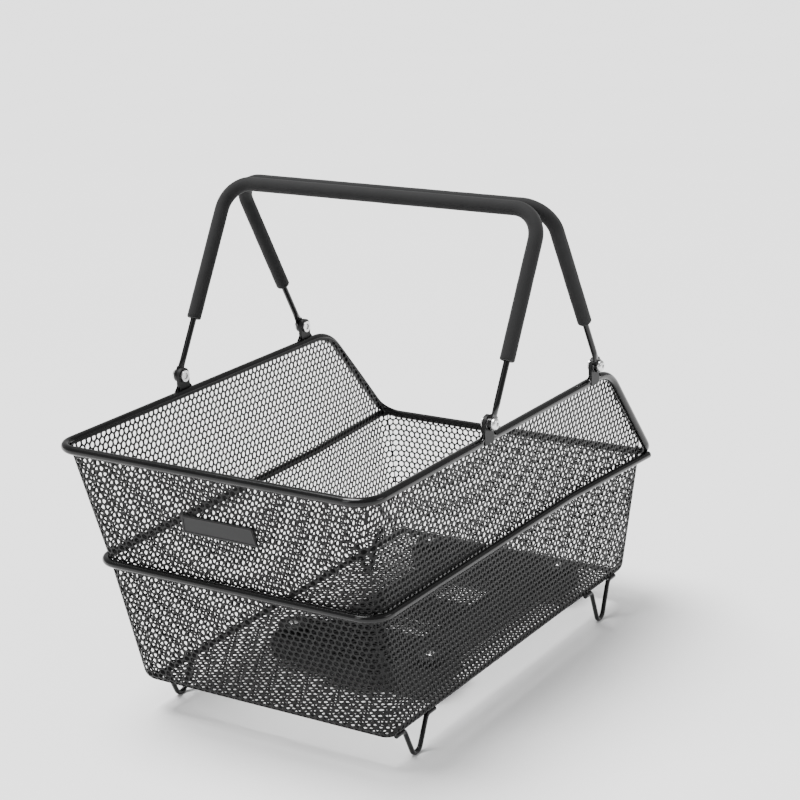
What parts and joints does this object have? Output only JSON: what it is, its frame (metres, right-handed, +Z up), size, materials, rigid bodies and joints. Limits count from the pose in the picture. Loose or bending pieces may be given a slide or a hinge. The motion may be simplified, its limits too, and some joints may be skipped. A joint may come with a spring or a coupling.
{
  "type": "bicycle rack basket",
  "caption": "Tapered open-top mesh basket with a lowered front end, two folding bail handles with foam grips, wire feet and a quick-release plate under the floor.",
  "frame": {"origin": "on the ground under the four wire feet, at the middle of the length and width", "axes": "+X runs towards the low front end (the saddle side on a bicycle), -X is the high rear end with the badge, +Y is the left side, +Z is up"},
  "size_m": [0.465, 0.309, 0.4058],
  "materials": {
    "black_wire": "gloss black powder coat over steel wire",
    "black_mesh": "satin black powder coat over perforated steel",
    "black_lug": "satin black powder coat over flat steel",
    "foam": "matt closed-cell foam",
    "bright_steel": "zinc-plated steel",
    "badge_grey": "dark grey satin plastic with a plain raised border, blank",
    "black_plastic": "fine-grained black plastic"
  },
  "bodies": {
    "basket": {"rim_wire": "black_wire", "mid_ring_wire": "black_wire", "mesh_rear": "black_mesh", "mesh_front": "black_mesh", "mesh_left": "black_mesh", "mesh_right": "black_mesh", "mesh_floor": "black_mesh", "foot_rear_left": "black_wire", "foot_rear_right": "black_wire", "foot_front_left": "black_wire", "foot_front_right": "black_wire", "lug_rear_left": "black_lug", "lug_rear_right": "black_lug", "lug_front_left": "black_lug", "lug_front_right": "black_lug", "pivot_bolts": "bright_steel", "pivot_washers": "bright_steel", "pivot_nuts": "bright_steel", "badge_plate": "badge_grey", "badge_back_plate": "bright_steel", "badge_push_nuts": "bright_steel", "adapter_plate": "black_plastic", "clamp_pads": "black_plastic", "pad_screws": "bright_steel"},
    "rear_handle": {"handle_rear_rod": "black_wire", "handle_rear_grip": "foam"},
    "front_handle": {"handle_front_rod": "black_wire", "handle_front_grip": "foam"},
    "key": {"release_key": "black_plastic"}
  },
  "joints": [
    {"name": "rear_handle_hinge", "type": "hinge", "parent": "basket", "child": "rear_handle", "pos_m": [-0.0665, 0, 0.2526], "axis": [0, -1, 0], "range_deg": [0, 121.2]},
    {"name": "front_handle_hinge", "type": "hinge", "parent": "basket", "child": "front_handle", "pos_m": [0.1099, 0, 0.2526], "axis": [0, 1, 0], "range_deg": [0, 141.7]},
    {"name": "key_slide", "type": "slide", "parent": "basket", "child": "key", "axis": [-1, 0, 0], "range_m": [0, 0.008], "stiffness_N_per_m": 300}
  ]
}
